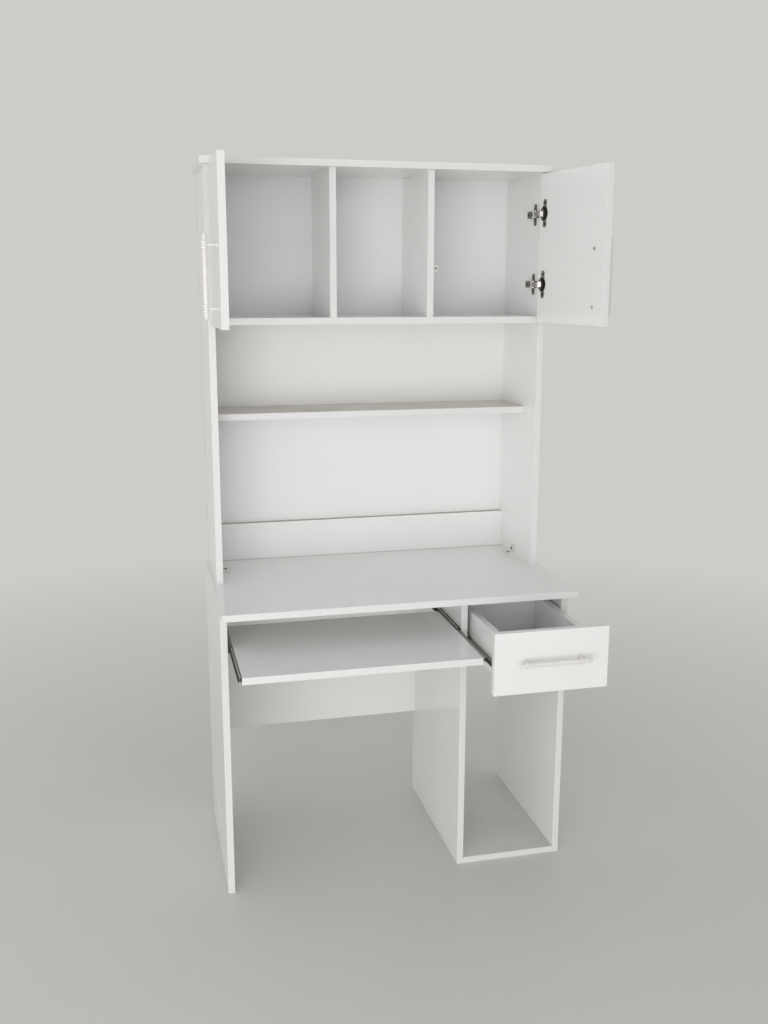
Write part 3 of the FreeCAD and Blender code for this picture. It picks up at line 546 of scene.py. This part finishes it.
def end_stop(web, reach, tall, mouth, thick):
    """C-shaped bumper at the front end of a slide's fixed member. It stands on the panel at z = 0 and
    reaches up along z, with its mouth across y and its thickness along x."""
    stop = block((thick, tall, web), (0, 0, web / 2))
    for level in (-mouth, mouth):
        edit_faces(stop, lambda face: True)
        bpy.ops.mesh.bisect(plane_co=(0, level, 0), plane_no=(0, 1, 0))
        leave_edit()
    edit_faces(stop, lambda face: face.normal.z > ALONG_AXIS and abs(face.calc_center_median().y) > mouth)
    bpy.ops.mesh.extrude_region_move(TRANSFORM_OT_translate={"value": (0, 0, reach - web)})
    leave_edit()
    bevel = stop.modifiers.new("round", "BEVEL")
    bevel.width = STOP_ROUND
    bevel.segments = 2
    bevel.limit_method = "ANGLE"
    bpy.context.view_layer.objects.active = stop
    bpy.ops.object.modifier_apply(modifier=bevel.name)
    shade_smooth(stop)
    return stop


def set_out(source, name, body, material, spots):
    """Copies of a piece at spots, each a point and the way its z axis points, joined as one group."""
    copies = []
    for point, up in spots:
        copy = source.copy()
        copy.data = source.data.copy()
        bpy.context.scene.collection.objects.link(copy)
        turn = Vector(up).to_track_quat("Z", "Y").to_matrix().to_4x4()
        copy.data.transform(Matrix.Translation(point) @ turn)
        copies.append(copy)
    deselect()
    for copy in copies:
        copy.select_set(True)
    group = copies[0]
    bpy.context.view_layer.objects.active = group
    if len(copies) > 1:
        bpy.ops.object.join()
    group.name = name
    group.data.name = name
    group.data.materials.clear()
    group.data.materials.append(material)
    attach(group, body)
    deselect()


SIDES = (("left", 1), ("right", -1))

# Hinge screws: two hold each plate, two sit in each arm and two hold each cup's ears. A screw is the
# radius and height of its head.
PLATE_SCREW = (3.6 * MM, 1.8 * MM)
ARM_SCREW = (3.2 * MM, 1.5 * MM)
EAR_SCREW = (3.4 * MM, 1.2 * MM)
PLATE_HOLES = 16 * MM
PLATE_HALF = 25.5 * MM
WING = 2 * MM
ARM_TOP = 13.5 * MM
ADJUSTER_AHEAD = 9 * MM
CLAMP_BEHIND = 13 * MM
CUP_PIN_FROM_EDGE = 9.73 * MM
CUP_PIN_DEEP = 2.53 * MM
EAR_FROM_EDGE = 26.5 * MM
EAR_HOLES = 24 * MM
EAR_SHEET = 1.2 * MM

plate_screw = pan_screw(*PLATE_SCREW)
arm_screw = pan_screw(*ARM_SCREW)
ear_screw = pan_screw(*EAR_SCREW)
for (side, inward), opened in zip(SIDES, (LEFT_OPEN, RIGHT_OPEN)):
    low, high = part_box(side + "_door_hinge_plates")
    wall = low.x if inward > 0 else high.x
    up = (inward, 0, 0)
    along = Vector((inward * math.cos(opened), -math.sin(opened), 0))
    inner = Vector((inward * math.sin(opened), math.cos(opened), 0))
    pin = Vector(joints[side + "_door_hinge"]["pos_m"])
    edge = pin - along * CUP_PIN_FROM_EDGE + inner * CUP_PIN_DEEP
    ear = edge + along * EAR_FROM_EDGE + inner * EAR_SHEET
    plate_spots = []
    arm_spots = []
    ear_spots = []
    for height in (low.z + PLATE_HALF, high.z - PLATE_HALF):
        for step in (-1, 1):
            hole = Vector((wall + inward * WING, HINGE_LINE, height + step * PLATE_HOLES))
            plate_spots.append((hole, up))
            ear_spots.append((Vector((ear.x, ear.y, height + step * EAR_HOLES)), inner))
        for behind in (-ADJUSTER_AHEAD, CLAMP_BEHIND):
            arm_spots.append((Vector((wall + inward * ARM_TOP, HINGE_LINE + behind, height)), up))
    set_out(plate_screw, side + "_hinge_plate_screws", "carcass", shaded_nickel, plate_spots)
    set_out(arm_screw, side + "_hinge_arm_screws", "carcass", deep_shaded_nickel, arm_spots)
    set_out(ear_screw, side + "_hinge_ear_screws", side + "_door", deep_shaded_nickel, ear_spots)

# Corner block screws, one in each leg
BLOCK_SCREW = (3.7 * MM, 2 * MM)
BLOCK_HOLE_FROM_CORNER = 16.25 * MM
BLOCK_LEG_TOP = 5.6 * MM

block_screw = pan_screw(*BLOCK_SCREW)
block_spots = []
for side, inward in SIDES:
    low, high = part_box("corner_block_" + side)
    corner = Vector((low.x if inward > 0 else high.x, (low.y + high.y) / 2, low.z))
    lying = Vector((inward * BLOCK_HOLE_FROM_CORNER, 0, BLOCK_LEG_TOP))
    upright = Vector((inward * BLOCK_LEG_TOP, 0, BLOCK_HOLE_FROM_CORNER))
    block_spots.append((corner + lying, (0, 0, 1)))
    block_spots.append((corner + upright, (inward, 0, 0)))
set_out(block_screw, "corner_block_screws", "carcass", deep_shaded_nickel, block_spots)

# Slide screws and end stops, from the slide's section
SLIDE_SCREW = (3.3 * MM, 1.3 * MM)
SLIDE_HEIGHT = 17 * MM
SLIDE_DEPTH = 9 * MM
SLIDE_INNER_GAP = 3 * MM
SLIDE_STEEL = 1 * MM
SLIDE_PLAY = 0.2 * MM
STOP_MOUTH = 5.9 * MM
STOP_THICK = 1.6 * MM
STOP_AHEAD = 0.1 * MM
STOP_PLAY = 0.3 * MM
FIXED_SCREWS_FROM_REAR = (18 * MM, 105 * MM)
RUNNING_SCREWS_FROM_FRONT = (22 * MM, 118 * MM, 310 * MM)

slide_screw = pan_screw(*SLIDE_SCREW)
stop_web = SLIDE_INNER_GAP - STOP_PLAY
stop = end_stop(stop_web, SLIDE_DEPTH, SLIDE_HEIGHT - 2 * SLIDE_PLAY, STOP_MOUTH, STOP_THICK)
for slide, body in (("tray_slide", "keyboard_tray"), ("drawer_slide", "drawer")):
    fixed_spots = []
    running_spots = []
    for side, inward in SIDES:
        low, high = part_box("%s_%s_outer" % (slide, side))
        wall = low.x if inward > 0 else high.x
        level = (low.z + high.z) / 2
        up = (inward, 0, 0)
        for back in FIXED_SCREWS_FROM_REAR:
            fixed_spots.append((Vector((wall + inward * SLIDE_STEEL, high.y - back, level)), up))
        tip = Vector((wall, low.y - STOP_AHEAD - STOP_THICK / 2, level))
        stop_name = "%s_%s_end_stop" % (slide, side)
        set_out(stop, stop_name, "carcass", brown_plastic, [(tip, up)])
        low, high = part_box("%s_%s_inner" % (slide, side))
        web = (high.x if inward > 0 else low.x) - inward * SLIDE_STEEL
        for ahead in RUNNING_SCREWS_FROM_FRONT:
            running_spots.append((Vector((web, low.y + ahead, level)), (-inward, 0, 0)))
    set_out(slide_screw, slide + "_panel_screws", "carcass", zinc, fixed_spots)
    set_out(slide_screw, slide + "_board_screws", body, zinc, running_spots)

for source in (plate_screw, arm_screw, ear_screw, block_screw, slide_screw, stop):
    bpy.data.objects.remove(source)


# Stage: a pale floor that fades into the background, soft light and the camera

BACKDROP = "CCCDC7"
DESK_MIDDLE = Vector((0, 0.1, 0.9))
FLOOR_RADIUS = 9
FLOOR_ROUGH = 0.45
FADE_FROM = 0.9
FADE_TO = 3.2
WORLD_STRENGTH = 0.59

# Soft boxes: name, place, width and height, and power in watts
SOFT_BOXES = (("low_key", (-1.52, -3.16, 0.5), (2.0, 2.0), 46),
              ("side", (-3.12, -1.7, 0.8), (2.0, 2.0), 14),
              ("front", (-1.29, -4.73, 1.6), (6.0, 3.2), 39))

# The photograph's camera: yaw to the right, pitch up and roll in degrees, lens and sensor in millimetres
CAMERA_PLACE = (-0.6134, -2.3813, 1.4273)
CAMERA_YAW = 13.6
CAMERA_PITCH = -12.2
CAMERA_ROLL = 0.1
CAMERA_LENS = 37.14
CAMERA_SENSOR = 36


def seen_directly(tree):
    """One for rays from the camera, a mirror or a clear body, which see the backdrop, else zero."""
    path = add(tree, "LightPath").node.outputs
    seen = add(tree, "Math", [path["Is Camera Ray"], path["Is Glossy Ray"]], operation="ADD")
    return add(tree, "Math", [seen, path["Is Transmission Ray"]], operation="ADD", use_clamp=True)


def lay_floor():
    """Matt floor about the desk, which turns into the backdrop further out."""
    deselect()
    bpy.ops.mesh.primitive_circle_add(vertices=96, radius=FLOOR_RADIUS, fill_type="NGON",
                                      location=(0, 0, 0))
    floor = bpy.context.object
    floor.name = "floor"
    material, tree, place = new_material("Pale floor")
    clouds = add(tree, "TexNoise", {"Vector": place, "Scale": per(400), "Detail": 2.0})
    colour = add(tree, "Mix", {0: clouds, 6: srgb("D3D2CE"), 7: srgb("D8D7D3")}, 2, data_type="RGBA")
    ground = add(tree, "BsdfPrincipled", {"Base Color": colour, "Roughness": FLOOR_ROUGH})
    glow = add(tree, "Emission", [srgb(BACKDROP), 1.0])
    reach = add(tree, "VectorMath", [place], "Value", operation="LENGTH")
    fade = add(tree, "MapRange", [reach, FADE_FROM, FADE_TO, 0.0, 1.0])
    fade = add(tree, "Math", [fade, seen_directly(tree)], operation="MULTIPLY")
    add(tree, "OutputMaterial", [add(tree, "MixShader", [fade, ground, glow])])
    floor.data.materials.append(material)


def light_world():
    """Even soft light from all round. The camera and the glossy boards see the pale backdrop."""
    world = bpy.data.worlds.new("Studio")
    bpy.context.scene.world = world
    world.use_nodes = True
    tree = world.node_tree
    tree.nodes.clear()
    soft = add(tree, "Background", [(1, 1, 1, 1), WORLD_STRENGTH])
    pale = add(tree, "Background", [srgb(BACKDROP), 1.0])
    add(tree, "OutputWorld", [add(tree, "MixShader", [seen_directly(tree), soft, pale])])


def soft_box(name, place, size, power):
    """Soft box that faces the middle of the desk."""
    lamp = bpy.data.lights.new(name, "AREA")
    lamp.shape = "RECTANGLE"
    lamp.size, lamp.size_y = size
    lamp.energy = power
    holder = bpy.data.objects.new(name, lamp)
    bpy.context.scene.collection.objects.link(holder)
    holder.location = place
    holder.rotation_euler = (DESK_MIDDLE - Vector(place)).to_track_quat("-Z", "Y").to_euler()


def set_camera():
    """Camera at the photograph's place and angle."""
    yaw = math.radians(CAMERA_YAW)
    pitch = math.radians(CAMERA_PITCH)
    roll = math.radians(CAMERA_ROLL)
    camera = bpy.data.cameras.new("camera")
    camera.lens = CAMERA_LENS
    camera.sensor_width = CAMERA_SENSOR
    holder = bpy.data.objects.new("camera", camera)
    bpy.context.scene.collection.objects.link(holder)
    holder.location = CAMERA_PLACE
    ahead = Vector((math.sin(yaw) * math.cos(pitch), math.cos(yaw) * math.cos(pitch), math.sin(pitch)))
    facing = ahead.to_track_quat("-Z", "Y").to_matrix()
    holder.rotation_euler = (facing @ Euler((0, 0, roll)).to_matrix()).to_euler()
    bpy.context.scene.camera = holder


lay_floor()
light_world()
for box in SOFT_BOXES:
    soft_box(*box)
set_camera()
bpy.context.scene.view_settings.view_transform = "Standard"
